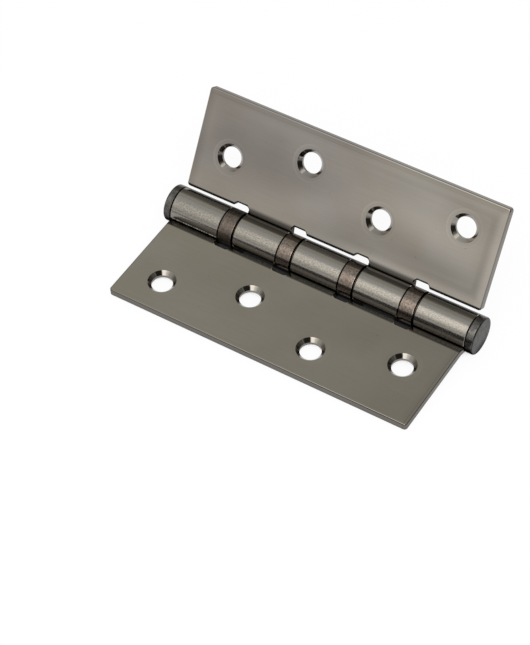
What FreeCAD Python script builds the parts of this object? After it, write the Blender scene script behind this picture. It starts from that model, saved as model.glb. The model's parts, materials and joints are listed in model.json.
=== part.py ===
import FreeCAD, Part

import math
import os

from FreeCAD import Vector

# Mortise hinge with rolled knuckles and four thrust ball bearings on one pin, in millimetres.
# X runs along the pin. The fixed leaf lies flat: its seating face is on Z = 0 and the middle
# of its reach is over the origin. The moving leaf stands open at OPEN_ANGLE behind the pin.
# The barrel reads, from -X to +X: cap, knuckle, bearing, knuckle, bearing, knuckle, bearing,
# knuckle, bearing, knuckle, cap. Knuckles 0, 2 and 4 are rolled from the fixed leaf.

# Leaves
LEAF_LENGTH = 100.0
LEAF_REACH = 38.2
LEAF_THICKNESS = 2.4
CLOSED_GAP = 1.2
CORNER_RADIUS = 1.0
EDGE_ROUND = 0.4
OPEN_ANGLE = 121.0

# Rolled knuckles. The end ones take what the others leave of the length.
KNUCKLE_COUNT = 5
MIDDLE_KNUCKLE = 15.8
MOVING_KNUCKLE = 14.9
KNUCKLE_RADIUS = 5.8
BLEND_RADIUS = 4.0
SEAM_GAP = 0.25
LIP_BEVEL = 0.25
KNUCKLE_BEVEL = 0.15

# Clearance cut in each leaf around the other leaf's knuckles
CUT_CLEARANCE = 0.8
NOTCH_DEPTH = 1.1
NOTCH_MOUTH_INSET = 0.15
NOTCH_FLOOR_INSET = 0.7
NOTCH_ROUND = 0.6
NOTCH_NECK_ROUND = 1.2
NOTCH_MOUTH_ROUND = 0.45

# Screw holes, a zigzag of two rows
HOLES_PER_LEAF = 4
HOLE_PITCH = 25.5
NEAR_ROW = 19.8
FAR_ROW = 27.8
HOLE_DIAMETER = 6.4
HOLE_RIM_BEVEL = 0.4
SINK_DIAMETER = 8.6
SINK_ANGLE = 90.0
DISH_DIAMETER = 11.7
DISH_DEPTH = 0.08

# Pin and end caps
PIN_CLEARANCE = 0.05
PIN_END_BEVEL = 0.4
PIN_END_GAP = 0.25
CAP_THICKNESS = 2.65
CAP_ROUND = 0.5
CAP_GROOVE_WIDTH = 0.32
CAP_GROOVE_DEPTH = 1.0
SPIGOT_LENGTH = 5.0
SPIGOT_CLEARANCE = 0.02

# Thrust bearings
BEARING_WIDTH = 5.3
RING_LEFT_GAP = 0.25
RING_RIGHT_GAP = 0.45
RING_WALL = 0.55
RING_BEVEL = 0.1
RACE_RING_CLEARANCE = 0.05
RACE_PIN_CLEARANCE = 0.1
RACE_BEVEL = 0.12
BALL_DIAMETER = 1.3
BALL_COUNT = 10
GROOVE_DEPTH = 0.2
GROOVE_CLEARANCE = 0.02
BALL_SEAT_CLEARANCE = 0.01
CAGE_THICKNESS = 0.7
CAGE_CLEARANCE = 0.08
POCKET_CLEARANCE = 0.04

# Places worked out from the sizes above, in the hinge frame: origin on the pin axis
INNER_Z = -CLOSED_GAP / 2
OUTER_Z = INNER_Z - LEAF_THICKNESS
BORE_RADIUS = KNUCKLE_RADIUS - LEAF_THICKNESS
PIN_RADIUS = BORE_RADIUS - PIN_CLEARANCE
HALF_LENGTH = LEAF_LENGTH / 2
INNER_LENGTH = MIDDLE_KNUCKLE + 2 * MOVING_KNUCKLE + (KNUCKLE_COUNT - 1) * BEARING_WIDTH
END_KNUCKLE = (LEAF_LENGTH - INNER_LENGTH) / 2
KNUCKLE_LENGTHS = [END_KNUCKLE, MOVING_KNUCKLE, MIDDLE_KNUCKLE, MOVING_KNUCKLE, END_KNUCKLE]
CUT_Y = -(KNUCKLE_RADIUS + CUT_CLEARANCE)
NOTCH_Y = CUT_Y - NOTCH_DEPTH
ROOT_Y = CUT_Y
NECK_Y = -(KNUCKLE_RADIUS + BORE_RADIUS) / 2
BLEND_CENTRE_Z = OUTER_Z - BLEND_RADIUS
BLEND_CENTRE_Y = -math.sqrt((KNUCKLE_RADIUS + BLEND_RADIUS) ** 2 - BLEND_CENTRE_Z ** 2)

# Tool bodies reach this far past what they cut
OVERSHOOT = 1.0
TINY = 1e-4

X_AXIS = Vector(1, 0, 0)
AXIS_POINT = Vector(0, 0, 0)
PIN_CENTRE = Vector(0, LEAF_REACH / 2, LEAF_THICKNESS - INNER_Z)


def knuckle_span(index):
    """Start and end of a knuckle along X."""
    start = -HALF_LENGTH + sum(KNUCKLE_LENGTHS[:index]) + index * BEARING_WIDTH
    return start, start + KNUCKLE_LENGTHS[index]


def bearing_span(index):
    """Start and end of the bearing slot that follows a knuckle."""
    start = knuckle_span(index)[1]
    return start, start + BEARING_WIDTH


def place(shape, moving=False):
    """Take a shape from the hinge frame to the row frame, turned open if it moves."""
    if moving:
        shape.rotate(AXIS_POINT, Vector(0, 1, 0), 180)
        shape.rotate(AXIS_POINT, X_AXIS, -OPEN_ANGLE)
    shape.translate(PIN_CENTRE)
    return shape


def polar(radius, degrees):
    """Point on a circle about the pin axis, measured from +Y towards +Z."""
    angle = math.radians(degrees)
    return Vector(0, radius * math.cos(angle), radius * math.sin(angle))


def direction(point):
    """Angle of a point about the pin axis, in degrees from 0 to 360."""
    return math.degrees(math.atan2(point.z, point.y)) % 360


def on_circle(radius, z):
    """Point on the leaf's side of a circle about the pin axis, at height z."""
    return Vector(0, -math.sqrt(radius ** 2 - z ** 2), z)


def arc_about(centre, start, end, along):
    """Arc from start to end round a centre, on the side that along points to."""
    radius = (start - centre).Length
    middle = centre + along.normalize() * radius
    return Part.Arc(start, middle, end).toShape()


def line(start, end):
    return Part.LineSegment(start, end).toShape()


def rounded_face(corners):
    """Flat face in the XY plane from corners given as (x, y, radius)."""
    points = [Vector(x, y, 0) for x, y, radius in corners]
    edges = []
    first = None
    last = None
    for index, (x, y, radius) in enumerate(corners):
        here = points[index]
        to_previous = (points[index - 1] - here).normalize()
        to_next = (points[(index + 1) % len(points)] - here).normalize()
        if radius:
            half = to_previous.getAngle(to_next) / 2
            setback = radius / math.tan(half)
            enter = here + to_previous * setback
            leave = here + to_next * setback
            centre = here + (to_previous + to_next).normalize() * (radius / math.sin(half))
            arc = arc_about(centre, enter, leave, here - centre)
        else:
            enter = leave = here
            arc = None
        if last is not None:
            edges.append(line(last, enter))
        else:
            first = enter
        if arc is not None:
            edges.append(arc)
        last = leave
    edges.append(line(last, first))
    return Part.Face(Part.Wire(edges))


def edges_where(shape, test):
    """Edges whose ends and middle all pass a test on a point."""
    found = []
    for edge in shape.Edges:
        middle = edge.valueAt((edge.FirstParameter + edge.LastParameter) / 2)
        if all(test(p) for p in [middle] + [v.Point for v in edge.Vertexes]):
            found.append(edge)
    return found


def near(value, target):
    return abs(value - target) < TINY


def tube(x, length, outer, inner):
    """Round tube along the pin axis, starting at x."""
    start = Vector(x, 0, 0)
    body = Part.makeCylinder(outer, length, start, X_AXIS)
    return body.cut(Part.makeCylinder(inner, length, start, X_AXIS))


def circle_edges(shape, x, radius):
    """Full circular edges of a turned part at a place along X."""
    found = []
    for edge in shape.Edges:
        curve = edge.Curve
        if isinstance(curve, Part.Circle) and near(curve.Radius, radius):
            if near(curve.Center.x, x) and near(curve.Center.y, 0) and near(curve.Center.z, 0):
                found.append(edge)
    return found


def roll_section():
    """Outline in the YZ plane of a rolled knuckle, its swaged blend and the root of the plate."""
    blend_centre = Vector(0, BLEND_CENTRE_Y, BLEND_CENTRE_Z)
    blend_on_plate = Vector(0, BLEND_CENTRE_Y, OUTER_Z)
    blend_on_roll = blend_centre * (KNUCKLE_RADIUS / (KNUCKLE_RADIUS + BLEND_RADIUS))
    blend_side = blend_on_roll + blend_on_plate - blend_centre * 2
    lip_z = INNER_Z + SEAM_GAP
    lip_outer = on_circle(KNUCKLE_RADIUS, lip_z + LIP_BEVEL)
    lip_bevel = on_circle(KNUCKLE_RADIUS, lip_z) + Vector(0, LIP_BEVEL, 0)
    lip_inner = on_circle(BORE_RADIUS, lip_z)
    bore_start = on_circle(BORE_RADIUS, INNER_Z)
    root_outer = Vector(0, ROOT_Y, OUTER_Z)
    root_inner = Vector(0, ROOT_Y, INNER_Z)
    roll_middle = (direction(blend_on_roll) + direction(lip_outer) + 360) / 2
    bore_middle = (direction(lip_inner) + direction(bore_start) + 360) / 2
    edges = [
        line(root_outer, blend_on_plate),
        arc_about(blend_centre, blend_on_plate, blend_on_roll, blend_side),
        arc_about(AXIS_POINT, blend_on_roll, lip_outer, polar(1, roll_middle)),
        line(lip_outer, lip_bevel),
        line(lip_bevel, lip_inner),
        arc_about(AXIS_POINT, lip_inner, bore_start, polar(1, bore_middle)),
        line(bore_start, root_inner),
        line(root_inner, root_outer),
    ]
    return Part.Face(Part.Wire(edges))


def rolled_knuckle(index):
    """One knuckle, curled round the pin, with its end rims bevelled."""
    start, end = knuckle_span(index)
    section = roll_section()
    section.translate(Vector(start, 0, 0))
    roll = section.extrude(Vector(end - start, 0, 0))
    return roll.makeChamfer(KNUCKLE_BEVEL, outer_rims(roll, start, end))


def outer_rims(roll, start, end):
    """Edges of a roll's two end faces that can be seen: the outside curve down to the plate."""
    rims = []
    for edge in roll.Edges:
        middle = edge.valueAt((edge.FirstParameter + edge.LastParameter) / 2)
        at_end = near(middle.x, start) or near(middle.x, end)
        on_roll = near(math.hypot(middle.y, middle.z), KNUCKLE_RADIUS)
        on_blend = near(math.hypot(middle.y - BLEND_CENTRE_Y, middle.z - BLEND_CENTRE_Z), BLEND_RADIUS)
        if at_end and (on_roll or on_blend):
            rims.append(edge)
    return rims


def plate_outline(knuckles):
    """Plan of a leaf: rounded corners, a neck at each knuckle and a notch at each bearing."""
    corners = [(-HALF_LENGTH, -LEAF_REACH, CORNER_RADIUS), (HALF_LENGTH, -LEAF_REACH, CORNER_RADIUS)]
    if KNUCKLE_COUNT - 1 not in knuckles:
        corners.append((HALF_LENGTH, CUT_Y, CORNER_RADIUS))
    for index in reversed(knuckles):
        start, end = knuckle_span(index)
        if index < KNUCKLE_COUNT - 1:
            far = end + BEARING_WIDTH
            corners.append((far - NOTCH_MOUTH_INSET, CUT_Y, NOTCH_MOUTH_ROUND))
            corners.append((far - NOTCH_FLOOR_INSET, NOTCH_Y, NOTCH_ROUND))
            corners.append((end, NOTCH_Y, NOTCH_NECK_ROUND))
        corners.append((end, NECK_Y, 0))
        corners.append((start, NECK_Y, 0))
        if index > 0:
            far = start - BEARING_WIDTH
            corners.append((start, NOTCH_Y, NOTCH_NECK_ROUND))
            corners.append((far + NOTCH_FLOOR_INSET, NOTCH_Y, NOTCH_ROUND))
            corners.append((far + NOTCH_MOUTH_INSET, CUT_Y, NOTCH_MOUTH_ROUND))
    if 0 not in knuckles:
        corners.append((-HALF_LENGTH, CUT_Y, CORNER_RADIUS))
    return rounded_face(corners)


def plate(knuckles):
    """Flat plate of a leaf with every edge of both faces rounded."""
    outline = plate_outline(knuckles)
    outline.translate(Vector(0, 0, OUTER_Z))
    body = outline.extrude(Vector(0, 0, LEAF_THICKNESS))
    faces_z = (INNER_Z, OUTER_Z)
    return body.makeFillet(EDGE_ROUND, edges_where(body, lambda p: any(near(p.z, z) for z in faces_z)))


def hole_places():
    """Screw hole centres in the leaf's plane, zigzag between the two rows."""
    places = []
    for index in range(HOLES_PER_LEAF):
        x = (index - (HOLES_PER_LEAF - 1) / 2) * HOLE_PITCH
        row = FAR_ROW if index % 2 == 0 else NEAR_ROW
        places.append((x, -row))
    return places


def screw_hole_tool(x, y):
    """Through hole with a bevelled rear rim, countersink and the shallow pressed dish round it."""
    sink_radius = SINK_DIAMETER / 2
    hole_radius = HOLE_DIAMETER / 2
    rim_radius = hole_radius + HOLE_RIM_BEVEL
    sink_depth = (sink_radius - hole_radius) / math.tan(math.radians(SINK_ANGLE / 2))
    dish_bottom = INNER_Z - DISH_DEPTH
    dish_slope = (DISH_DIAMETER / 2 - sink_radius) / DISH_DEPTH
    sink_bottom = dish_bottom - sink_depth
    profile = [
        Vector(0, 0, OUTER_Z - OVERSHOOT),
        Vector(rim_radius, 0, OUTER_Z - OVERSHOOT),
        Vector(rim_radius, 0, OUTER_Z),
        Vector(hole_radius, 0, OUTER_Z + HOLE_RIM_BEVEL),
        Vector(hole_radius, 0, sink_bottom),
        Vector(sink_radius, 0, dish_bottom),
        Vector(DISH_DIAMETER / 2 + dish_slope * DISH_DEPTH, 0, INNER_Z + DISH_DEPTH),
        Vector(0, 0, INNER_Z + DISH_DEPTH),
    ]
    face = Part.Face(Part.makePolygon(profile + profile[:1]))
    tool = face.revolve(Vector(0, 0, 0), Vector(0, 0, 1), 360)
    tool.translate(Vector(x, y, 0))
    return tool


def leaf(knuckles):
    """One leaf with its rolled knuckles, in the hinge frame, reaching towards -Y."""
    body = plate(knuckles)
    body = body.fuse([rolled_knuckle(index) for index in knuckles]).removeSplitter()
    return body.cut([screw_hole_tool(x, y) for x, y in hole_places()])


def hinge_pin():
    """Straight pin through all the knuckles, ending short of the caps' spigots."""
    half = HALF_LENGTH - SPIGOT_LENGTH - PIN_END_GAP
    pin = Part.makeCylinder(PIN_RADIUS, 2 * half, Vector(-half, 0, 0), X_AXIS)
    ends = circle_edges(pin, -half, PIN_RADIUS) + circle_edges(pin, half, PIN_RADIUS)
    return pin.makeChamfer(PIN_END_BEVEL, ends)


def end_cap(side):
    """Flat cap flush with the barrel, grooved at its seat, with a spigot that plugs the end knuckle."""
    head = Part.makeCylinder(KNUCKLE_RADIUS, CAP_THICKNESS, Vector(HALF_LENGTH, 0, 0), X_AXIS)
    head = head.makeFillet(CAP_ROUND, circle_edges(head, HALF_LENGTH + CAP_THICKNESS, KNUCKLE_RADIUS))
    groove_floor = KNUCKLE_RADIUS - CAP_GROOVE_DEPTH
    head = head.cut(tube(HALF_LENGTH, CAP_GROOVE_WIDTH, KNUCKLE_RADIUS + OVERSHOOT, groove_floor))
    spigot_start = HALF_LENGTH - SPIGOT_LENGTH
    spigot_radius = BORE_RADIUS - SPIGOT_CLEARANCE
    spigot = Part.makeCylinder(spigot_radius, SPIGOT_LENGTH, Vector(spigot_start, 0, 0), X_AXIS)
    spigot = spigot.makeChamfer(PIN_END_BEVEL, circle_edges(spigot, spigot_start, spigot_radius))
    cap = head.fuse(spigot).removeSplitter()
    if side < 0:
        cap.rotate(AXIS_POINT, Vector(0, 0, 1), 180)
    return cap


RING_INNER = KNUCKLE_RADIUS - RING_WALL
RACE_OUTER = RING_INNER - RACE_RING_CLEARANCE
RACE_INNER = PIN_RADIUS + RACE_PIN_CLEARANCE
BALL_CIRCLE = (RACE_OUTER + RACE_INNER) / 2
HALF_BALL_GAP = BALL_DIAMETER / 2 - GROOVE_DEPTH + BALL_SEAT_CLEARANCE


def bearing_ring(index):
    """Outer ring, flush with the knuckles, that closes a bearing in."""
    start, end = bearing_span(index)
    left = start + RING_LEFT_GAP
    right = end - RING_RIGHT_GAP
    ring = tube(left, right - left, KNUCKLE_RADIUS, RING_INNER)
    rims = circle_edges(ring, left, KNUCKLE_RADIUS) + circle_edges(ring, right, KNUCKLE_RADIUS)
    return ring.makeChamfer(RING_BEVEL, rims)


def race(index, side):
    """Grooved washer that bears on one knuckle, left for side -1 and right for side 1."""
    start, end = bearing_span(index)
    middle = (start + end) / 2
    thickness = BEARING_WIDTH / 2 - HALF_BALL_GAP
    back = start if side < 0 else end
    left = start if side < 0 else end - thickness
    washer = tube(left, thickness, RACE_OUTER, RACE_INNER)
    washer = washer.makeChamfer(RACE_BEVEL, circle_edges(washer, back, RACE_OUTER))
    groove_radius = BALL_DIAMETER / 2 + GROOVE_CLEARANCE
    groove = Part.makeTorus(BALL_CIRCLE, groove_radius, Vector(middle, 0, 0), X_AXIS)
    return washer.cut(groove)


def ball_places(index):
    """Centres of a bearing's balls, evenly round the pin."""
    start, end = bearing_span(index)
    places = []
    for number in range(BALL_COUNT):
        centre = polar(BALL_CIRCLE, 360 * number / BALL_COUNT)
        centre.x = (start + end) / 2
        places.append(centre)
    return places


def ball_cage(index):
    """Flat retainer with one pocket for each ball."""
    start, end = bearing_span(index)
    left = (start + end - CAGE_THICKNESS) / 2
    cage = tube(left, CAGE_THICKNESS, RACE_OUTER - CAGE_CLEARANCE, RACE_INNER + CAGE_CLEARANCE)
    pocket_radius = BALL_DIAMETER / 2 + POCKET_CLEARANCE
    pockets = []
    for centre in ball_places(index):
        mouth = Vector(left - OVERSHOOT, centre.y, centre.z)
        pockets.append(Part.makeCylinder(pocket_radius, CAGE_THICKNESS + 2 * OVERSHOOT, mouth, X_AXIS))
    return cage.cut(pockets)


def ball_set(index):
    """The balls of one bearing, as separate solids."""
    return Part.makeCompound([Part.makeSphere(BALL_DIAMETER / 2, c) for c in ball_places(index)])


def build():
    """Every piece by name, in the row frame."""
    fixed_knuckles = [index for index in range(KNUCKLE_COUNT) if index % 2 == 0]
    moving_knuckles = [index for index in range(KNUCKLE_COUNT) if index % 2 == 1]
    pieces = {
        "leaf_three_knuckle": place(leaf(fixed_knuckles)),
        "hinge_pin": place(hinge_pin()),
        "end_cap_left": place(end_cap(-1)),
        "end_cap_right": place(end_cap(1)),
    }
    pieces["leaf_two_knuckle"] = place(leaf(moving_knuckles), moving=True)
    for index in range(KNUCKLE_COUNT - 1):
        number = index + 1
        pieces[f"bearing_ring_{number}"] = place(bearing_ring(index))
        pieces[f"race_left_{number}"] = place(race(index, -1))
        pieces[f"race_right_{number}"] = place(race(index, 1))
        pieces[f"ball_cage_{number}"] = place(ball_cage(index))
        pieces[f"ball_set_{number}"] = place(ball_set(index))
    return pieces


def main():
    os.makedirs("parts", exist_ok=True)
    for name, shape in build().items():
        shape.exportStep(f"parts/{name}.step")
        print(name, len(shape.Solids), round(shape.Volume, 2), shape.isValid())


main()
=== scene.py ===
import json
import math
from types import SimpleNamespace

import bpy
from mathutils import Matrix, Vector


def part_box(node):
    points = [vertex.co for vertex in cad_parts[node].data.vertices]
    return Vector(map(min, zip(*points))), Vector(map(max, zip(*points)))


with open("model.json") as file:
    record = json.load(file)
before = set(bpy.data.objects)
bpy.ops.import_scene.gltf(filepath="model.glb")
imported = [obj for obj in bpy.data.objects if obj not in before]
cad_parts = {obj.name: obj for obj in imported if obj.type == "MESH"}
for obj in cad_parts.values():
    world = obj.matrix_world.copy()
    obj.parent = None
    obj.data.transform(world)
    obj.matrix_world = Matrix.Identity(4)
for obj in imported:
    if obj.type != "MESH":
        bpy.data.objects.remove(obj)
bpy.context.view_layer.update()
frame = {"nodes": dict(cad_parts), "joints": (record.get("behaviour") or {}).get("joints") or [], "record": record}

MM = 0.001

# The hinge, read from the frame, in mm
LEAF_JOINT = next(joint for joint in frame["joints"] if joint["name"] == "leaf_swing")
PIN_CENTRE = Vector(LEAF_JOINT["pos_m"]) / MM
SEATS = {mount["name"]: mount for mount in frame["record"]["mounts"] if mount["kind"] == "flat_face"}
HALF_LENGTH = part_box("leaf_three_knuckle")[1].x / MM
LEAF_REACH = PIN_CENTRE.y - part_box("leaf_three_knuckle")[0].y / MM
BARREL_RADIUS = (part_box("end_cap_left")[1].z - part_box("end_cap_left")[0].z) / 2 / MM
CAP_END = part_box("end_cap_right")[1].x / MM
RING_ENDS = [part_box("bearing_ring_%d" % number)[1].x / MM for number in (1, 2, 3, 4)]

# The middle of a noise: nearly all of its values, and two narrower parts, which give more contrast
NOISE_RANGE = (0.3, 0.7)
NOISE_MIDDLE = (0.35, 0.65)
NOISE_CORE = (0.38, 0.62)
AO_SAMPLES = 8

# Colour sockets of the Mix node, by number, because its other data types share their names
MIX_FIRST = 6
MIX_SECOND = 7
MIX_RESULT = 2


class Graph:
    """Short calls that build one node tree."""

    def __init__(self, tree):
        self.tree = tree
        tree.nodes.clear()

    def feed(self, socket, value):
        if isinstance(value, bpy.types.NodeSocket):
            self.tree.links.new(value, socket)
        else:
            socket.default_value = value

    def node(self, kind, inputs=None, **settings):
        made = self.tree.nodes.new("ShaderNode" + kind)
        for name, value in settings.items():
            setattr(made, name, value)
        for name, value in (inputs or {}).items():
            self.feed(made.inputs[name], value)
        return made

    def math(self, operation, *values):
        made = self.node("Math", dict(enumerate(values)), operation=operation)
        return made.outputs["Value"]

    def chain(self, operation, values):
        """The values joined by one operation, from left to right."""
        result = values[0]
        for value in values[1:]:
            result = self.math(operation, result, value)
        return result

    def total(self, *values):
        return self.chain("ADD", values)

    def product(self, *values):
        return self.chain("MULTIPLY", values)

    def minus(self, first, second):
        return self.math("SUBTRACT", first, second)

    def gained(self, value, gain):
        """Value times 1 + gain."""
        return self.product(value, self.total(1.0, gain))

    def dimmed(self, value, loss):
        """Value times 1 - loss."""
        return self.product(value, self.minus(1.0, loss))

    def dot(self, vector, constant):
        made = self.node("VectorMath", {0: vector, 1: constant}, operation="DOT_PRODUCT")
        return made.outputs["Value"]

    def distance(self, vector, constant):
        made = self.node("VectorMath", {0: vector, 1: constant}, operation="DISTANCE")
        return made.outputs["Value"]

    def vector(self, operation, first, second):
        slot = "Scale" if operation == "SCALE" else 1
        made = self.node("VectorMath", {0: first, slot: second}, operation=operation)
        return made.outputs["Vector"]

    def combine(self, x, y, z):
        return self.node("CombineXYZ", {"X": x, "Y": y, "Z": z}).outputs["Vector"]

    def place_in_mm(self):
        """Place in the piece's own axes, in mm."""
        return self.vector("MULTIPLY", self.node("TexCoord").outputs["Object"], (1 / MM,) * 3)

    def span(self, value, start, end, low=0.0, high=1.0, smooth=True):
        """Value goes from low at start to high at end, and stays there outside."""
        kind = "SMOOTHSTEP" if smooth else "LINEAR"
        inputs = {"Value": value, "From Min": start, "From Max": end, "To Min": low, "To Max": high}
        return self.node("MapRange", inputs, interpolation_type=kind).outputs["Result"]

    def window(self, value, dark, full, full_end, dark_end):
        """1 from full to full_end, fading to 0 at dark and at dark_end."""
        return self.product(self.span(value, dark, full), self.span(value, full_end, dark_end, 1.0, 0.0))

    def windows(self, value, places):
        """Sum of the windows at the places."""
        return self.total(*[self.window(value, *place) for place in places])

    def stretched(self, x, y, x_size, y_size):
        """Place in a flat pattern whose spots are x_size by y_size."""
        return self.combine(self.math("DIVIDE", x, x_size), self.math("DIVIDE", y, y_size), 0.0)

    def noise(self, vector, scale, detail=2.0, roughness=0.5):
        inputs = {"Vector": vector, "Scale": scale, "Detail": detail, "Roughness": roughness}
        return self.node("TexNoise", inputs).outputs["Fac"]

    def mix(self, factor, first, second):
        """Colour between first, at factor 0, and second, at factor 1."""
        inputs = {"Factor": factor, MIX_FIRST: first, MIX_SECOND: second}
        return self.node("Mix", inputs, data_type="RGBA").outputs[MIX_RESULT]


CAVITY_REACH = 6.0


def metal(name, build):
    """Metal whose colour, shade, roughness and bump height in mm come from build(graph, openness).

    Openness is 1 in the open and near 0 in the crevices. Shade is painted shade in the colour, and painted light
    where it is over 1; up to 1 it dims the metal at a grazing angle too.
    """
    material = bpy.data.materials.new(name)
    material.use_nodes = True
    graph = Graph(material.node_tree)
    shadow = graph.node("AmbientOcclusion", {"Distance": CAVITY_REACH * MM}, samples=AO_SAMPLES)
    colour, shade, roughness, height = build(graph, shadow.outputs["AO"])
    edge = graph.vector("SCALE", (1.0, 1.0, 1.0), graph.math("MINIMUM", shade, 1.0))
    bump = graph.node("Bump", {"Height": height, "Distance": MM, "Strength": 1.0})
    shader = graph.node("BsdfPrincipled", {
        "Base Color": graph.vector("SCALE", colour, shade),
        "Roughness": roughness,
        "Metallic": 1.0,
        "Specular Tint": edge,
        "Normal": bump.outputs["Normal"],
    })
    graph.node("OutputMaterial", {"Surface": shader.outputs["BSDF"]})
    return material


def from_pin(graph):
    """Place on a piece at rest, in mm from the middle of the pin."""
    return graph.vector("SUBTRACT", graph.place_in_mm(), tuple(PIN_CENTRE))


def barrel_place(graph):
    """Along the pin, round it in mm of barrel surface from +Y over the top, and away from it."""
    place = from_pin(graph)
    along = graph.dot(place, (1, 0, 0))
    y = graph.dot(place, (0, 1, 0))
    z = graph.dot(place, (0, 0, 1))
    around = graph.product(graph.math("ARCTAN2", z, y), BARREL_RADIUS)
    away = graph.math("SQRT", graph.total(graph.math("POWER", y, 2.0), graph.math("POWER", z, 2.0)))
    return along, around, away


# Crevices of the barrel: openness from full shade to none, its level, the level in the creases on top and
# below, and the stretch round the barrel between those creases
CAVITY = (0.60, 0.86)
CAVITY_LEVEL = 0.12
CREASE_LEVEL = 0.55
CREASES = (7.0, 7.5, 16.6, 17.6)


def barrel_cavity(graph, openness, around):
    """Shade of the barrel's crevices, weaker in the creases on top and below, which see the floor."""
    between = graph.window(around, *CREASES)
    level = graph.span(between, 0.0, 1.0, CREASE_LEVEL, CAVITY_LEVEL)
    return graph.span(openness, *CAVITY, level)


# Leaves: satin black nickel, mirror flat on the plates and grainy on the rolled knuckles. Lengths are in mm.
# Along runs with the pin, reach from the pin to the free edge, depth from the gap into the plate. Pairs are
# where something starts and ends, and four numbers are a window, as Graph.window has it.
PLATE_LIGHT = (0.258, 0.243, 0.222, 1)
PLATE_WARM = (0.250, 0.230, 0.205, 1)
PLATE_ROUGHNESS = (0.10, 0.13)
PLATE_CAVITY = (0.15, 0.62, 0.25)
PLATE_CAVITY_END = (9.6, 9.0)
CLOUD_SIZE = 22.0
FACE_DEPTH = 0.6
BACK_DEPTH = 3.0

# Relief of the plates
CROWN_WIDTH = 3.0
CROWN_DROP = 0.10
WAVE_SIZE = 34.0
WAVE_HEIGHT = 0.10
PEEL_SIZE = 1.1
PEEL_HEIGHT = 0.0006
DISH_RADIUS = 5.85
DISH_INNER = 4.0
DISH_SLOPE = 0.052
DISH_SOFTENING = 0.7
DISH_FILL = DISH_SLOPE * DISH_SOFTENING * (DISH_RADIUS - DISH_INNER)
HOLE_BLEND = 0.3
FAR_FROM_HOLES = DISH_RADIUS * 2

# Tone of the plates: painted reflections in soft bands, a light border with a dark line, lines by the dishes and a
# bluer end, with the metal's own brushed streaks and specks
BAND_PERIOD = 30.0
BAND_START = 18.0
BAND_SLANT = 0.2
BAND_WANDER = 5.0
BAND_WANDER_SIZE = 18.0
BAND_FADE = (LEAF_REACH - 14.0, LEAF_REACH - 2.0)
BAND_END_SHARE = 0.2
STREAK_LENGTH = 16.0
STREAK_WIDTH = 0.4
STREAK_GAIN = 0.02
BORDER_SHEEN_FOOT = 6.9
BORDER_SHEEN_WIDTH = (3.2, 1.4)
BORDER_SHEEN_LINE = (3.9, 0.9)
BORDER_SHEEN_LINE_SHARE = -0.3
BORDER_SHEEN_ALONG = (-4.0, 16.0)
DISH_GLINT_LINE = (5.5, 0.3)
COOL_REFLECTION_ALONG = (16.0, -8.0)
COOL_REFLECTION_REACH = (8.0, 18.0)
SPECK_SCALE = 1.9
SPECK_LIMITS = (0.86, 0.90)
SPECK_COLOUR = (0.07, 0.06, 0.05, 1)

# Painted shade and light on the walls, rim and cut edges of the plates, by depth, by reach, and by distance from a
# hole's middle, the leaf's ends, its free edge and, for the notches, the middle of the pin
WALL_DEPTH = (FACE_DEPTH + 0.08, FACE_DEPTH + 0.22, BACK_DEPTH - 0.2, BACK_DEPTH - 0.06)
WALL_OFF_HOLE = (4.6, 5.2)
WALL_NOT_END = (0.6, 1.2)
WALL_REACH = (8.0, 13.0)
WALL_TIP = (0.5, 0.1)
RIM_TIP = (-0.1, 0.0, 0.10, 0.20)
RIM_DEPTH = (1.0, 0.9)
CUT_EDGE = 6.6
NOTCH_EDGE = 7.45
NOTCHES = [(8.15, 9.2, 12.4, 13.4), (28.0, 29.0, 32.1, 33.1)]
CUT_LINE = (0.72, 0.95)

# Knuckles: where their finish ends outside the barrel, their grain with painted glints, the painted streaks of
# shade and light along them, and a painted black line by each bearing
ROLLED_SKIN = (BARREL_RADIUS + 0.35, BARREL_RADIUS + 0.1)
KNUCKLE_LIGHT = (0.270, 0.254, 0.232, 1)
KNUCKLE_DARK = (0.235, 0.221, 0.202, 1)
KNUCKLE_ROUGHNESS = (0.15, 0.19)
GRAIN_LENGTH = 0.60
GRAIN_WIDTH = 0.38
GRAIN_HEIGHT = 0.008
GRAIN_UNLIT_SHARE = 0.1
GRAIN_GLINT = 0.14
GRAIN_ZONE = (10.8, 12.6, 16.0, 17.0)
TOP_SHADE = (6.6, 7.6, 8.95, 9.65)
CREASE_LIGHT = (5.9, 6.2, 7.0, 7.5)
LOOSE_SIDE_SHADE = (0.20, 0.30, 0.66, 0.80)
LOOSE_SIDE_SHADE_LEVEL = 0.10

# Seam, in front of the pin, by height over it: a bevel, a painted glint with breaks, a painted dark line of shade,
# painted light low down and a painted glint on the plate's lip. It is full on the first knuckle and weak on the
# others.
SEAM_ALONG = (-32.0, -29.0, 1.0, 0.2)
SEAM_BEVEL = (-0.15, 0.30, 0.0, -0.30)
SEAM_GLINT = (-0.15, -0.05, 0.25, 0.35)
SEAM_GLINT_GAIN = 0.8
SEAM_SHADE_LINE = (-0.95, -0.85, -0.35, -0.20)
SEAM_SHADE_LINE_GAIN = -0.6
LOW_LIGHT = (-0.3, -0.1, 0.5, 0.9)
LOW_LIGHT_GAIN = 0.15
DASH_SCALE = 1.3
DASHES = (0.42, 0.60, 0.25, 1.0)
LIP_GLINT_REACH = (6.84, 6.96, 7.14, 7.26)
LIP_GLINT_DEPTH = (1.0, 0.8)
LIP_GLINT_GAIN = 0.50
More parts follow.
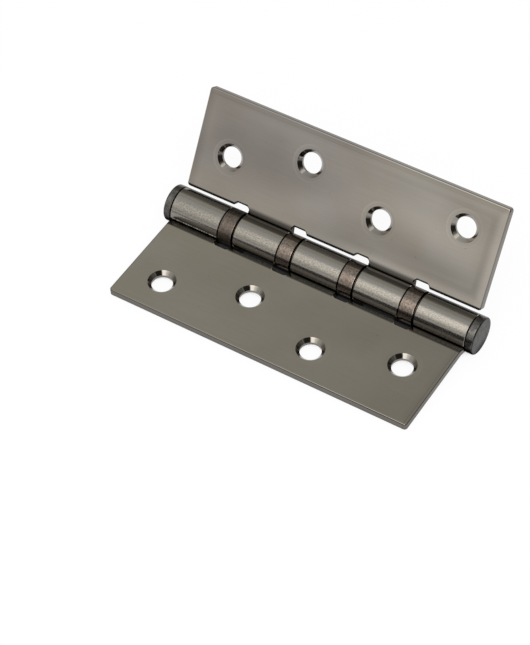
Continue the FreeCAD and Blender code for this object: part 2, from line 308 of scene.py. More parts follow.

# What differs between the leaves:
# - seat and holes name the mounts, tint colours the plate, and bands is the strength of its painted reflection
#   bands
# - knuckles are windows along the pin, and root and crease are the painted shade on the plate there towards the
#   barrel: from the end to the start of a stretch of reach, down to its level
# - edge_line is the level of the painted shade on the cut edge, walls those of the painted shade on the side and
#   tip walls, and near_wall that on the walls by the barrel, painted light where it is over 1
# - top_shade and crease_light are the knuckles' painted streaks of shade and light, and lip is 1 where the seam
#   shows
# - cool, dish_line, rim_glint and border are the strengths of painted reflections: the bluer end, the light
#   lines round the dishes, the rim's glint, which is painted shade where it is under 1, and the light border
# - side_line and tip_line are painted dark reflection lines: distance from the right or free edge, half width and
#   gain
# - sheens are soft spots: along, reach, their half sizes, slant and gain
FIXED_LEAF = {
    "seat": "fixed_leaf_seat",
    "holes": "fixed_leaf_hole",
    "tint": (1.0, 1.0, 1.0),
    "bands": 0.02,
    "knuckles": [(-2.0, -1.0, 7.7, 8.1), (13.0, 13.3, 28.0, 28.3), (33.2, 33.6, 50.0, 50.4)],
    "root": (7.75, 8.25, 0.34),
    "crease": (5.9, 6.5, 0.30),
    "edge_line": 1.0,
    "walls": (0.68, 0.64),
    "near_wall": 1.5,
    "top_shade": 0.25,
    "crease_light": 0.8,
    "lip": 1.0,
    "cool": 0.0,
    "dish_line": 0.02,
    "rim_glint": 0.68,
    "border": 0.0,
    "side_line": (1.05, 0.22, -0.14),
    "tip_line": (1.3, 0.2, -0.03),
    "sheens": [],
}
MOVING_LEAF = {
    "seat": "moving_leaf_seat",
    "holes": "moving_leaf_hole",
    "tint": (1.0, 0.988, 1.0),
    "bands": 0.11,
    "knuckles": [(12.8, 13.6, 27.8, 28.6)],
    "root": (6.9, 8.3, 0.24),
    "crease": (5.85, 6.6, 0.10),
    "edge_line": 0.06,
    "walls": (0.75, 0.80),
    "near_wall": 0.38,
    "top_shade": 0.52,
    "crease_light": 1.8,
    "lip": 0.0,
    "cool": 0.035,
    "dish_line": 0.08,
    "rim_glint": 1.10,
    "border": 0.20,
    "side_line": (0.32, 0.17, -0.50),
    "tip_line": (1.55, 0.18, -0.12),
    "sheens": [
        (-4.0, 18.0, 20.0, 5.0, 0.28, 0.20),
        (29.0, 22.5, 13.0, 5.0, -0.1, 0.17),
        (-50.0, 28.0, 5.0, 8.0, 0.0, 0.28),
        (-50.0, 9.0, 6.0, 3.0, 0.0, 0.20),
        (2.0, 10.0, 13.0, 3.0, 0.05, -0.11),
        (34.0, 13.7, 14.0, 2.6, 0.0, -0.10),
        (-24.0, 29.0, 5.0, 8.0, 0.0, -0.07),
        (28.0, 31.5, 7.0, 3.0, 0.0, 0.12),
        (18.0, 10.3, 9.0, 1.8, 0.0, 0.08),
        (48.0, 22.0, 3.5, 8.0, 0.0, -0.14),
        (-49.0, 19.5, 4.0, 4.0, 0.0, -0.10),
        (-27.0, 35.5, 16.0, 2.6, 0.0, 0.10),
        (17.0, 35.0, 17.0, 2.4, 0.0, 0.12),
        (43.0, 36.0, 6.0, 2.5, 0.0, 0.12),
    ],
}


def reach_axis(seat):
    """Direction in a leaf's plane from the pin to its free edge."""
    face = Vector(seat["axis"])
    arm = Vector(seat["pos_m"]) / MM - PIN_CENTRE
    arm -= face * arm.dot(face)
    arm.x = 0.0
    return arm.normalized()


def hole_centres(start, axis):
    """Place along the pin and reach from it of every screw hole whose mount name begins with start."""
    mounts = [mount for mount in frame["record"]["mounts"] if mount["name"].startswith(start)]
    places = [Vector(mount["pos_m"]) / MM - PIN_CENTRE for mount in mounts]
    return [(place.x, place.dot(axis)) for place in places]


def rising(graph, value, stretch):
    """Level below the stretch (start, end, level), going up to 1 at its end."""
    start, end, level = stretch
    return graph.span(value, start, end, level, 1.0)


def line_at(graph, value, place, half_width, gain):
    """Gain on a thin line where value is near place, else 0."""
    sides = [place + half_width * share for share in (-1.0, -0.5, 0.5, 1.0)]
    return graph.product(graph.window(value, *sides), gain)


def soft_spot(graph, at, spot):
    """One broad, soft reflection on a plate."""
    along, reach, half_along, half_across, slant, gain = spot
    beside = graph.minus(at.along, along)
    beyond = graph.minus(graph.minus(at.reach, reach), graph.product(beside, slant))
    squares = []
    for offset, half in ((beside, half_along), (beyond, half_across)):
        ratio = graph.math("ABSOLUTE", graph.math("DIVIDE", offset, half))
        squares.append(graph.math("POWER", ratio, 2.0))
    return graph.product(graph.math("EXPONENT", graph.product(graph.total(*squares), -1.0)), gain)


def leaf_places(graph, leaf):
    """Where a point of a leaf is, and the patterns that more than one part of its finish follows."""
    seat = SEATS[leaf["seat"]]
    axis = reach_axis(seat)
    at = SimpleNamespace()
    at.along, at.around, away = barrel_place(graph)
    place = from_pin(graph)
    at.reach = graph.dot(place, tuple(axis))
    at.depth = graph.math("ABSOLUTE", graph.dot(place, tuple(seat["axis"])))
    at.over_pin = graph.dot(place, (0, 0, 1))
    at.centred = graph.math("ABSOLUTE", at.along)
    at.side = graph.minus(HALF_LENGTH, at.centred)
    at.tip = graph.minus(LEAF_REACH, at.reach)
    at.to_edge = graph.math("SMOOTH_MIN", at.side, at.tip, CROWN_WIDTH / 2)
    at.flat = graph.combine(at.along, at.reach, 0.0)
    at.to_hole = FAR_FROM_HOLES
    for x, reach in hole_centres(leaf["holes"], axis):
        gap = graph.distance(at.flat, (x, reach, 0.0))
        at.to_hole = graph.math("SMOOTH_MIN", gap, at.to_hole, HOLE_BLEND)
    at.knuckle = graph.span(away, *ROLLED_SKIN)
    at.plate = graph.minus(1.0, at.knuckle)

    at.cloud = graph.noise(at.flat, 1 / CLOUD_SIZE, detail=3.0)
    grained = graph.stretched(at.along, at.around, GRAIN_LENGTH, GRAIN_WIDTH)
    at.grain = graph.noise(grained, 1.0, detail=3.0, roughness=0.6)
    at.lit_zone = graph.window(at.around, *GRAIN_ZONE)
    in_front = graph.math("LESS_THAN", graph.dot(place, (0, 1, 0)), 0.0)
    at.seam_side = graph.product(in_front, leaf["lip"])
    at.seam = graph.product(at.seam_side, graph.span(at.along, *SEAM_ALONG))
    at.dashes = graph.span(graph.noise(graph.combine(at.along, 0.0, 0.0), DASH_SCALE, detail=1.0), *DASHES)
    return at


def leaf_relief(graph, at):
    """Crown, waves, peel and softened dishes on the plate, grain and the seam's bevel on the knuckles."""
    inset = graph.span(at.to_edge, CROWN_WIDTH, 0.0, smooth=False)
    crown = graph.product(graph.math("POWER", inset, 2.0), -CROWN_DROP)
    wave = graph.product(graph.noise(at.flat, 1 / WAVE_SIZE, detail=1.0), WAVE_HEIGHT)
    peel = graph.product(graph.noise(at.flat, 1 / PEEL_SIZE, detail=1.0), PEEL_HEIGHT)
    dish = graph.span(at.to_hole, DISH_RADIUS, DISH_INNER, 0.0, DISH_FILL, smooth=False)
    grain_height = graph.span(at.lit_zone, 0.0, 1.0, GRAIN_UNLIT_SHARE * GRAIN_HEIGHT, GRAIN_HEIGHT)
    grain = graph.product(at.grain, grain_height)
    bevel = graph.product(graph.span(at.over_pin, *SEAM_BEVEL, smooth=False), at.seam)
    return graph.total(
        graph.product(graph.total(crown, wave, peel, dish), at.plate),
        graph.product(graph.total(grain, bevel), at.knuckle),
    )


def plate_colour(graph, at, leaf):
    """Painted reflections in soft bands and spots, a lighter border, lines by the edges and dishes and a bluer
    end, with brushed streaks and specks.
    """
    colour = graph.mix(graph.span(at.cloud, *NOISE_MIDDLE), PLATE_LIGHT, PLATE_WARM)
    colour = graph.vector("MULTIPLY", colour, leaf["tint"])

    # Soft bands: a painted reflection of the studio in a slightly warped plate
    wander = graph.product(graph.noise(at.flat, 1 / BAND_WANDER_SIZE), BAND_WANDER)
    across = graph.total(graph.product(at.along, BAND_SLANT), at.reach, wander)
    from_start = graph.minus(across, BAND_START + BAND_WANDER / 2)
    wave = graph.math("COSINE", graph.product(from_start, 2 * math.pi / BAND_PERIOD))
    bands = leaf["bands"]
    band = graph.product(wave, graph.span(at.reach, *BAND_FADE, -bands, -BAND_END_SHARE * bands))

    brushed = graph.stretched(at.along, at.reach, STREAK_LENGTH, STREAK_WIDTH)
    streak = graph.span(graph.noise(brushed, 1.0, detail=3.0), *NOISE_RANGE, -STREAK_GAIN, STREAK_GAIN)

    # Light border by the right and lower edges with a dark line inside it: painted reflection of the crowned edges
    near_edge = graph.math("SMOOTH_MIN", at.to_edge, graph.minus(at.reach, BORDER_SHEEN_FOOT), CROWN_WIDTH / 2)
    border_light = graph.span(near_edge, *BORDER_SHEEN_WIDTH, 0.0, leaf["border"])
    border_line = line_at(graph, near_edge, *BORDER_SHEEN_LINE, BORDER_SHEEN_LINE_SHARE * leaf["border"])
    border_light = graph.product(graph.total(border_light, border_line), graph.span(at.along, *BORDER_SHEEN_ALONG))

    # Painted dark reflection lines by the right and free edges, and painted light lines round the dishes
    side_line = line_at(graph, graph.minus(HALF_LENGTH, at.along), *leaf["side_line"])
    tip_line = line_at(graph, at.tip, *leaf["tip_line"])
    dish_line = line_at(graph, at.to_hole, *DISH_GLINT_LINE, leaf["dish_line"])
    sheens = [soft_spot(graph, at, spot) for spot in leaf["sheens"]]
    tone = graph.total(1.0, band, streak, border_light, side_line, tip_line, dish_line, *sheens)
    colour = graph.vector("SCALE", colour, tone)

    # Bluer end: a painted cool reflection
    coolness = graph.product(graph.span(at.along, *COOL_REFLECTION_ALONG), graph.span(at.reach, *COOL_REFLECTION_REACH))
    blue = graph.span(coolness, 0.0, 1.0, 1.0, 1.0 + leaf["cool"])
    colour = graph.vector("MULTIPLY", colour, graph.combine(1.0, 1.0, blue))
    speck = graph.span(graph.noise(at.flat, SPECK_SCALE, detail=0.0), *SPECK_LIMITS)
    return graph.mix(speck, colour, SPECK_COLOUR)


def plate_shade(graph, at, leaf, openness):
    """Painted shade in the crevices, on the cut walls, at the barrel's foot and on the cut edge, the rim's painted
    glint or shade, and the seam's painted bright lip.
    """
    # Painted shade on the walls, and painted light on the fixed leaf's walls by the barrel
    wall = graph.product(graph.window(at.depth, *WALL_DEPTH), graph.span(at.to_hole, *WALL_OFF_HOLE))
    side_wall, tip_wall = leaf["walls"]
    near_wall = graph.span(at.side, *WALL_NOT_END, side_wall, leaf["near_wall"])
    wall_level = graph.span(at.reach, *WALL_REACH, near_wall, side_wall)
    wall_level = graph.math("MAXIMUM", wall_level, graph.span(at.tip, *WALL_TIP, 0.0, tip_wall))
    wall_loss = graph.dimmed(wall, wall_level)

    # Rim: painted shade on the fixed leaf, a painted glint on the moving one
    rim = graph.product(graph.window(at.tip, *RIM_TIP), graph.span(at.depth, *RIM_DEPTH))
    rim_loss = graph.product(rim, 1.0 - leaf["rim_glint"])

    face = graph.minus(1.0, wall)
    # Painted shade on the plate at the barrel's foot, off the walls
    foot = graph.windows(at.centred, leaf["knuckles"])
    foot_level = graph.product(rising(graph, at.reach, leaf["root"]), rising(graph, at.reach, leaf["crease"]))
    foot_loss = graph.dimmed(graph.product(foot, face), foot_level)

    # Painted dark line of shade along the cut edge by the barrel
    notched = graph.windows(at.centred, NOTCHES)
    past_edge = graph.minus(at.reach, graph.span(notched, 0.0, 1.0, CUT_EDGE, NOTCH_EDGE))
    cut_loss = graph.product(face, graph.span(past_edge, *CUT_LINE, 1.0 - leaf["edge_line"], 0.0))
    cut_loss = graph.dimmed(cut_loss, graph.math("MINIMUM", foot, 1.0))

    shade = rising(graph, openness, PLATE_CAVITY)
    shade = graph.math("MAXIMUM", shade, graph.span(at.reach, *PLATE_CAVITY_END))
    for loss in (wall_loss, rim_loss, foot_loss, cut_loss):
        shade = graph.dimmed(shade, loss)
    # Painted glint in dashes on the plate's lip by the seam
    lip = graph.product(graph.window(at.reach, *LIP_GLINT_REACH), graph.span(at.depth, *LIP_GLINT_DEPTH), at.dashes)
    return graph.total(shade, graph.product(lip, LIP_GLINT_GAIN * leaf["lip"]))


def knuckle_colour(graph, at):
    """Fine grain, with painted glints in the stretch where the highlight falls."""
    colour = graph.mix(graph.span(at.grain, *NOISE_RANGE), KNUCKLE_DARK, KNUCKLE_LIGHT)
    # Painted glints in the grain where the highlight falls
    glint = graph.product(at.lit_zone, graph.span(at.grain, *NOISE_MIDDLE, -GRAIN_GLINT, GRAIN_GLINT))
    return graph.vector("SCALE", colour, graph.total(1.0, glint))


def knuckle_shade(graph, at, leaf, openness):
    """Painted shade in crevices, painted streaks of shade and light on top, a painted black line of shade on each
    bearing's loose side, and painted light and a broken painted glint and dark line on the seam.
    """
    shade = barrel_cavity(graph, openness, at.around)
    shade = graph.gained(shade, graph.product(graph.window(at.around, *TOP_SHADE), -leaf["top_shade"]))
    shade = graph.gained(shade, graph.product(graph.window(at.around, *CREASE_LIGHT), leaf["crease_light"]))
    # Painted black line of shade on the knuckle by each bearing's loose side
    for end in RING_ENDS:
        line = graph.window(graph.minus(at.along, end), *LOOSE_SIDE_SHADE)
        shade = graph.product(shade, graph.span(line, 0.0, 1.0, 1.0, LOOSE_SIDE_SHADE_LEVEL))
    # Seam: painted glint with breaks, painted light low down and a painted dark line of shade
    glint = graph.product(graph.window(at.over_pin, *SEAM_GLINT), at.seam)
    low = graph.total(
        graph.product(graph.window(at.over_pin, *LOW_LIGHT), LOW_LIGHT_GAIN),
        graph.product(glint, SEAM_GLINT_GAIN),
        graph.product(graph.window(at.over_pin, *SEAM_SHADE_LINE), SEAM_SHADE_LINE_GAIN),
    )
    shade = graph.gained(shade, graph.product(low, at.seam_side))
    return graph.dimmed(shade, graph.dimmed(glint, at.dashes))


def leaf_metal(name, leaf):
    """Finish of one leaf, with painted light and shade."""

    def build(graph, openness):
        at = leaf_places(graph, leaf)
        colour = graph.mix(at.knuckle, plate_colour(graph, at, leaf), knuckle_colour(graph, at))
        shade = graph.total(
            graph.product(plate_shade(graph, at, leaf, openness), at.plate),
            graph.product(knuckle_shade(graph, at, leaf, openness), at.knuckle),
        )
        plate_roughness = graph.span(at.cloud, *NOISE_RANGE, *PLATE_ROUGHNESS)
        knuckle_roughness = graph.span(at.grain, *NOISE_RANGE, *KNUCKLE_ROUGHNESS)
        extra = graph.product(graph.minus(knuckle_roughness, plate_roughness), at.knuckle)
        return colour, shade, graph.total(plate_roughness, extra), leaf_relief(graph, at)

    return metal(name, build)


# End caps: matt, mottled plating, with painted shade on the flat face, and darker low down, more so on the right
# one
CAP_LIGHT = (0.150, 0.144, 0.136, 1)
CAP_DARK = (0.070, 0.068, 0.066, 1)
CAP_ROUGHNESS = (0.32, 0.20)
CAP_MOTTLE_SCALE = 0.9
CAP_GRAIN_SCALE = 5.0
CAP_GRAIN_HEIGHT = 0.003
CAP_GRAIN_SHARE = 0.35
CAP_MOTTLE_SHARE = 0.65
CAP_RIM = (CAP_END - 0.3, CAP_END - 0.05)
# Painted shade on the flat face: its colour factor and its shade
CAP_FACE = 0.45
CAP_FACE_SHADE = 0.80
CAP_LOW_LEFT = 0.50
CAP_LOW_RIGHT = 0.27
CAP_LEFT_TO_RIGHT = (-40.0, 40.0)
CAP_RISE = (-0.25 * BARREL_RADIUS, 0.6 * BARREL_RADIUS)


def cap_metal(graph, openness):
    """Finish of the end caps, with painted shade on the flat face."""
    along, around, away = barrel_place(graph)
    place = from_pin(graph)
    mottle = graph.noise(place, CAP_MOTTLE_SCALE, detail=4.0, roughness=0.65)
    grain = graph.noise(place, CAP_GRAIN_SCALE)
    mixed = graph.total(graph.product(mottle, CAP_MOTTLE_SHARE), graph.product(grain, CAP_GRAIN_SHARE))
    colour = graph.mix(graph.span(mixed, *NOISE_CORE), CAP_DARK, CAP_LIGHT)
    outward = graph.math("ABSOLUTE", along)
    # Painted shade on the flat face, in the colour here and in the shade below
    colour = graph.vector("SCALE", colour, graph.span(outward, *CAP_RIM, 1.0, CAP_FACE))
    low = graph.span(along, *CAP_LEFT_TO_RIGHT, CAP_LOW_LEFT, CAP_LOW_RIGHT)
    low = graph.math("MAXIMUM", low, graph.span(outward, *CAP_RIM))
    rise = graph.span(graph.dot(place, (0, 0, 1)), *CAP_RISE)
    shade = graph.product(
        graph.span(outward, *CAP_RIM, 1.0, CAP_FACE_SHADE),
        barrel_cavity(graph, openness, around),
        graph.total(low, graph.dimmed(rise, low)),
    )
    roughness = graph.span(mottle, *NOISE_RANGE, *CAP_ROUGHNESS)
    return colour, shade, roughness, graph.product(grain, CAP_GRAIN_HEIGHT)


# Bearing rings: brown plating with turning marks and a bright right edge, which is a painted glint, one of them
# duller than the rest.
# Ring shades are painted shade: windows round the barrel and how much darker they are.
RING_LIGHT = (0.250, 0.204, 0.172, 1)
RING_DARK = (0.110, 0.090, 0.077, 1)
RING_COOL = (0.175, 0.150, 0.148, 1)
RING_SHADES = [(7.0, 7.6, 8.8, 9.4, 0.40), (15.2, 16.0, 16.7, 17.3, 0.30)]
RING_TURNING = (5.0, 0.35)
RING_MARK_HEIGHT = 0.004
RING_MARK_SHARE = 0.35
RING_BLOTCH_SHARE = 0.65
RING_BLOTCH_SCALE = 1.7
RING_TINT_SCALE = 1.2
RING_TINT = (0.45, 0.70, 0.0, 0.6)
RING_GLINT = 1.5
RING_GLINT_PLACE = (-0.32, -0.20, -0.06, 0.02)
RING_GLINT_BREAKS = (0.4, 0.6, 0.2, 1.0)
RING_EXTRA_ROUGHNESS = 0.1


def ring_metal(tone, rough):
    """Finish of a bearing ring, with painted shade and glint, with its level and its least roughness."""

    def build(graph, openness):
        along, around, away = barrel_place(graph)
        by_along, by_around = RING_TURNING
        turned = graph.combine(graph.product(along, by_along), graph.product(around, by_around), 0.0)
        marks = graph.noise(turned, 1.0, detail=4.0, roughness=0.6)
        blotched = graph.combine(along, around, away)
        blotch = graph.noise(blotched, RING_BLOTCH_SCALE, detail=4.0, roughness=0.65)
        mixed = graph.total(graph.product(marks, RING_MARK_SHARE), graph.product(blotch, RING_BLOTCH_SHARE))
        colour = graph.mix(graph.span(mixed, *NOISE_CORE), RING_DARK, RING_LIGHT)
        tint = graph.noise(graph.combine(around, away, along), RING_TINT_SCALE)
        colour = graph.mix(graph.span(tint, *RING_TINT), colour, RING_COOL)
        # Painted glint on each ring's right edge, where the highlight falls
        edge = graph.total(*[graph.window(graph.minus(along, end), *RING_GLINT_PLACE) for end in RING_ENDS])
        edge = graph.product(edge, graph.window(around, *GRAIN_ZONE), RING_GLINT)
        edge = graph.product(edge, graph.span(marks, *RING_GLINT_BREAKS))
        shade = graph.gained(graph.product(barrel_cavity(graph, openness, around), tone), edge)
        for *zone, loss in RING_SHADES:
            shade = graph.dimmed(shade, graph.product(graph.window(around, *zone), loss))
        roughness = graph.span(marks, *NOISE_RANGE, rough + RING_EXTRA_ROUGHNESS, rough)
        return colour, shade, roughness, graph.product(marks, RING_MARK_HEIGHT)

    return build


# Inner pieces: ground steel, pressed brass and black races, with painted shade in their crevices
STEEL_LIGHT = (0.66, 0.66, 0.66, 1)
STEEL_DARK = (0.50, 0.50, 0.50, 1)
RACE_LIGHT = (0.14, 0.13, 0.12, 1)
RACE_DARK = (0.07, 0.065, 0.06, 1)
BRASS_LIGHT = (0.76, 0.60, 0.30, 1)
BRASS_DARK = (0.58, 0.43, 0.20, 1)
GROUND_TURNING = (6.0, 0.3)
GROUND_HEIGHT = 0.002
GROUND_ROUGHNESS = (0.28, 0.18)
GROUND_CAVITY = (0.1, 0.6, 0.05)


def ground_metal(dark, light):
    """Finish of an inner piece, turned or ground, between two colours, with painted shade in its crevices."""

    def build(graph, openness):
        along, around, away = barrel_place(graph)
        by_along, by_around = GROUND_TURNING
        turned = graph.combine(graph.product(along, by_along), graph.product(around, by_around), away)
        marks = graph.noise(turned, 1.0, detail=3.0)
        colour = graph.mix(graph.span(marks, *NOISE_RANGE), dark, light)
        shade = rising(graph, openness, GROUND_CAVITY)
        roughness = graph.span(marks, *NOISE_RANGE, *GROUND_ROUGHNESS)
        return colour, shade, roughness, graph.product(marks, GROUND_HEIGHT)

    return build


RING_FINISH = (1.0, 0.17)
DULL_RING_FINISH = (0.72, 0.36)


def dress():
    """Gives every piece of the frame its material."""
    families = {
        "leaf_three_knuckle": leaf_metal("fixed_leaf_painted_light_and_shade", FIXED_LEAF),
        "leaf_two_knuckle": leaf_metal("moving_leaf_painted_light_and_shade", MOVING_LEAF),
        "end_cap": metal("cap_plating", cap_metal),
        "bearing_ring_1": metal("dull_ring_painted_light_and_shade", ring_metal(*DULL_RING_FINISH)),
        "bearing_ring": metal("brown_ring_painted_light_and_shade", ring_metal(*RING_FINISH)),
        "ball_cage": metal("cage_brass", ground_metal(BRASS_DARK, BRASS_LIGHT)),
        "race_": metal("race_black_steel", ground_metal(RACE_DARK, RACE_LIGHT)),
    }
    steel = metal("bright_steel", ground_metal(STEEL_DARK, STEEL_LIGHT))
    for name, piece in frame["nodes"].items():
        material = next((made for start, made in families.items() if name.startswith(start)), steel)
        piece.data.materials.clear()
        piece.data.materials.append(material)


# Studio seen in the metal. A direction is a side angle towards +X and a pitch that starts at -Y and goes up
# over the top, in degrees. Each patch has a colour that it adds, and for side and pitch a window.
BASE = (0.61, 0.60, 0.545)
SIDE_FALL = (-80.0, -30.0, 0.5)
PATCHES = {
    "front_low": ((0.76, 0.76, 0.76), (-38.0, -8.0, 19.0, 22.0), (-10.0, -3.0, 11.0, 21.0)),
    "front_high": ((0.35, 0.35, 0.34), (-80.0, -40.0, 19.0, 22.0), (12.0, 26.0, 38.0, 54.0)),
    "key": ((2.10, 2.04, 1.94), (-32.0, -12.0, 18.5, 21.5), (22.0, 56.0, 66.0, 86.0)),
    "key_core": ((1.20, 1.20, 1.22), (-10.0, 2.0, 18.5, 21.5), (22.0, 34.0, 50.0, 62.0)),
    "overhead": ((0.30, 0.31, 0.29), (-90.0, -40.0, 10.0, 34.0), (70.0, 86.0, 94.0, 112.0)),
    "right_top": ((0.90, 0.90, 0.86), (6.0, 14.0, 26.0, 34.0), (82.0, 88.0, 98.0, 108.0)),
    "rear_left": ((0.20, 0.20, 0.17), (-95.0, -60.0, -27.0, -13.0), (98.0, 118.0, 132.0, 146.0)),
    "cool_top": ((0.0, 0.030, 0.080), (-60.0, -40.0, 10.0, 20.0), (66.0, 80.0, 94.0, 108.0)),
}

# Each dark wall has the share of the light that it leaves, and its windows. A window with NO_START or
# NO_END stays open on that side.
NO_START = (-201.0, -200.0)
NO_END = (200.0, 201.0)
DARK_WALLS = [
    (0.06, (19.0, 22.5, *NO_END), (6.0, 26.0, 76.0, 92.0)),
    (0.35, (26.0, 36.0, *NO_END), (84.0, 96.0, *NO_END)),
    (0.50, (*NO_START, *NO_END), (128.0, 135.0, 170.0, 176.0)),
]
DIFFUSE_LIGHT = (0.78, 0.78, 0.78, 1)
WHITE = (1.0, 1.0, 1.0, 1)


def light_world():
    """White to the camera, a soft studio to the metal and an even pale light to the rest."""
    world = bpy.data.worlds.new("studio")
    bpy.context.scene.world = world
    world.use_nodes = True
    graph = Graph(world.node_tree)
    toward = graph.node("TexCoord").outputs["Generated"]
    front = graph.dot(toward, (0, -1, 0))
    up = graph.dot(toward, (0, 0, 1))
    side = graph.math("DEGREES", graph.math("ARCSINE", graph.dot(toward, (1, 0, 0))))
    pitch = graph.math("DEGREES", graph.math("ARCTAN2", up, front))
    studio = graph.vector("SCALE", BASE, rising(graph, side, SIDE_FALL))
    for colour, across, over in PATCHES.values():
        lit = graph.product(graph.window(side, *across), graph.window(pitch, *over))
        studio = graph.vector("ADD", studio, graph.vector("SCALE", colour, lit))
    for level, across, over in DARK_WALLS:
        wall = graph.product(graph.window(side, *across), graph.window(pitch, *over))
        studio = graph.vector("SCALE", studio, graph.span(wall, 0.0, 1.0, 1.0, level, smooth=False))
    path = graph.node("LightPath").outputs
    mirrored = graph.math("MAXIMUM", path["Is Glossy Ray"], path["Is Transmission Ray"])
    light = graph.mix(mirrored, DIFFUSE_LIGHT, studio)
    light = graph.mix(path["Is Camera Ray"], light, WHITE)
    background = graph.node("Background", {"Color": light, "Strength": 1.0})
    graph.node("OutputWorld", {"Surface": background.outputs["Background"]})


def flat_mesh(name, corners):
    """An object of one flat face."""
    mesh = bpy.data.meshes.new(name)
    mesh.from_pydata(corners, [], [tuple(range(len(corners)))])
    made = bpy.data.objects.new(name, mesh)
    bpy.context.scene.collection.objects.link(made)
    return made


def paint(piece, name):
    """A new material on the piece, as a graph to build it with."""
    material = bpy.data.materials.new(name)
    material.use_nodes = True
    piece.data.materials.append(material)
    return Graph(material.node_tree)


# Floor: white to the camera and the metal, with its shadow, painted shade where it is closed in, and a painted
# shadow that makes it dark in the crevice under the barrel
FLOOR_SIZE = 3.0
FLOOR_ALBEDO = (0.93, 0.93, 0.93)
FLOOR_GLOW = 0.91
# Painted shade: the floor's glow fades where it is closed in
CREVICE_REACH = 0.007
CREVICE_DARK = 0.02
CREVICE_LIGHT = 0.14
# Painted shadow right under the barrel: where it lies, its level, and its lighter level under the moving leaf's
# knuckle
PAINTED_SHADOW_REACH = (-8.2, -7.2, 4.0, 6.0)
PAINTED_SHADOW_SIDES = (HALF_LENGTH - 2.0, HALF_LENGTH - 4.0)
PAINTED_SHADOW_LEVEL = 0.03
PAINTED_SHADOW_MOVING = 0.14
PAINTED_SHADOW_MOVING_REACH = (15.2, 16.0, 25.4, 26.2)


def lay_floor():
    """Pale floor that touches the fixed leaf's free edge and the barrel, with a painted black shadow right under
    the barrel.
    """
    half = FLOOR_SIZE / 2
    floor = flat_mesh("floor", [(-half, -half, 0), (half, -half, 0), (half, half, 0), (-half, half, 0)])
    edge = Vector((0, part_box("leaf_three_knuckle")[0].y, 0))
    to_pin = PIN_CENTRE * MM - edge
    to_pin.x = 0.0
    tilt = math.atan2(to_pin.z, to_pin.y) - math.asin(BARREL_RADIUS * MM / to_pin.length)
    floor.matrix_world = Matrix.Translation(edge) @ Matrix.Rotation(tilt, 4, "X")

    graph = paint(floor, "floor_white")
    place = graph.place_in_mm()
    from_barrel = graph.minus(graph.dot(place, (0, 1, 0)), LEAF_REACH)
    sideways = graph.math("ABSOLUTE", graph.dot(place, (1, 0, 0)))
    # Painted shadow under the barrel, on both the floor's colour and its glow
    under = graph.product(graph.window(from_barrel, *PAINTED_SHADOW_REACH), graph.span(sideways, *PAINTED_SHADOW_SIDES))
    level = graph.span(graph.window(sideways, *PAINTED_SHADOW_MOVING_REACH), 0.0, 1.0, PAINTED_SHADOW_LEVEL, PAINTED_SHADOW_MOVING)
    clear = graph.span(under, 0.0, 1.0, 1.0, level, smooth=False)
    diffuse = graph.node("BsdfDiffuse", {"Color": graph.vector("SCALE", FLOOR_ALBEDO, clear)})
    glow = graph.node("Emission", {"Color": WHITE, "Strength": 1.0})
    path = graph.node("LightPath").outputs
    seen = graph.math("MAXIMUM", path["Is Camera Ray"], path["Is Glossy Ray"])
    openness = graph.node("AmbientOcclusion", {"Distance": CREVICE_REACH}, samples=AO_SAMPLES).outputs["AO"]
    # Painted shade: the glow fades where the floor is closed in
    lit = graph.span(openness, CREVICE_DARK, CREVICE_LIGHT, 0.0, FLOOR_GLOW)
    share = graph.product(seen, graph.product(lit, clear))
    blend = graph.node("MixShader", {0: share, 1: diffuse.outputs["BSDF"], 2: glow.outputs["Emission"]})
    graph.node("OutputMaterial", {"Surface": blend.outputs["Shader"]})


FLAG_DISTANCE = 34.0
FLAG_OUTLINE = [(-90, -6), (110, -6), (110, 15), (16, 15), (8, 12), (-25, 11.5), (-45, 8), (-90, 2.5)]
FLAG_COLOUR = (0.08, 0.08, 0.08, 1)


def stand_flag():
    """Low black flag in front, seen only in the metal, that gives the barrel its thin dark line."""
    flag = flat_mesh("flag", [Vector((x, 0, z)) * MM for x, z in FLAG_OUTLINE])
    flag.location.y = -FLAG_DISTANCE * MM
    flag.visible_camera = False
    flag.visible_diffuse = False
    flag.visible_shadow = False
    graph = paint(flag, "flag_black")
    emission = graph.node("Emission", {"Color": FLAG_COLOUR, "Strength": 1.0})
    graph.node("OutputMaterial", {"Surface": emission.outputs["Emission"]})


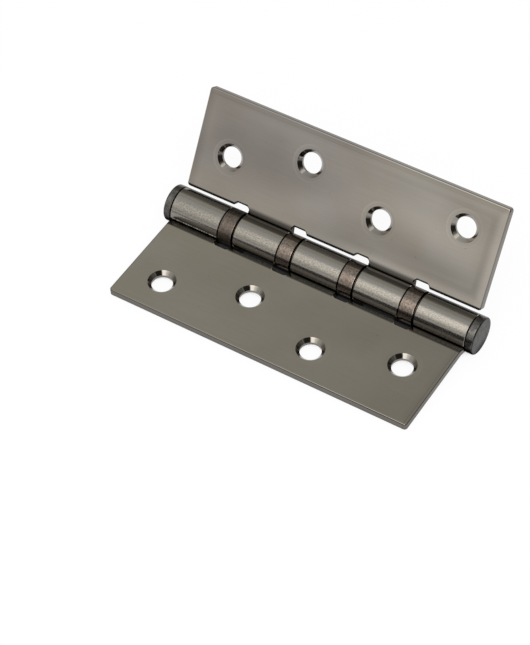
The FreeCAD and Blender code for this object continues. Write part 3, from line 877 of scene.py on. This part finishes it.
def direction(azimuth, elevation):
    """Unit vector from the object, azimuth 0 towards -Y and 90 towards +X."""
    turn, rise = math.radians(azimuth), math.radians(elevation)
    return Vector((math.sin(turn) * math.cos(rise), -math.cos(turn) * math.cos(rise), math.sin(rise)))


LAMP_AZIMUTH = 35.0
LAMP_ELEVATION = 55.0
LAMP_DISTANCE = 0.9
LAMP_SIZE = 0.6
LAMP_POWER = 4.5


def hang_lamp():
    """One large soft lamp in front, for the shadow on the floor."""
    data = bpy.data.lights.new("softbox", "AREA")
    data.size = LAMP_SIZE
    data.energy = LAMP_POWER
    lamp = bpy.data.objects.new("softbox", data)
    bpy.context.scene.collection.objects.link(lamp)
    back = direction(LAMP_AZIMUTH, LAMP_ELEVATION)
    lamp.location = back * LAMP_DISTANCE
    lamp.rotation_mode = "QUATERNION"
    lamp.rotation_quaternion = (-back).to_track_quat("-Z", "Y")
    lamp.visible_glossy = False


CAMERA_AZIMUTH = 35.145
CAMERA_ELEVATION = 49.448
CAMERA_ROLL = -3.738
CAMERA_TARGET = Vector((-5.17, -4.78, -0.80)) * MM
CAMERA_DISTANCE = 652.3 * MM
CAMERA_LENS = 125.99
CAMERA_CLIP = 0.01
SENSOR_WIDTH = 36.0


def set_camera():
    """The photograph's view, whose long side is upright."""
    data = bpy.data.cameras.new("camera")
    data.sensor_width = SENSOR_WIDTH
    data.lens = CAMERA_LENS
    data.clip_start = CAMERA_CLIP
    camera = bpy.data.objects.new("camera", data)
    bpy.context.scene.collection.objects.link(camera)
    back = direction(CAMERA_AZIMUTH, CAMERA_ELEVATION)
    turn = (-back).to_track_quat("-Z", "Y").to_matrix().to_4x4()
    roll = Matrix.Rotation(math.radians(CAMERA_ROLL), 4, "Z")
    camera.matrix_world = Matrix.Translation(CAMERA_TARGET + back * CAMERA_DISTANCE) @ turn @ roll
    bpy.context.scene.camera = camera


dress()
light_world()
lay_floor()
stand_flag()
hang_lamp()
set_camera()
bpy.context.scene.view_settings.view_transform = "Standard"
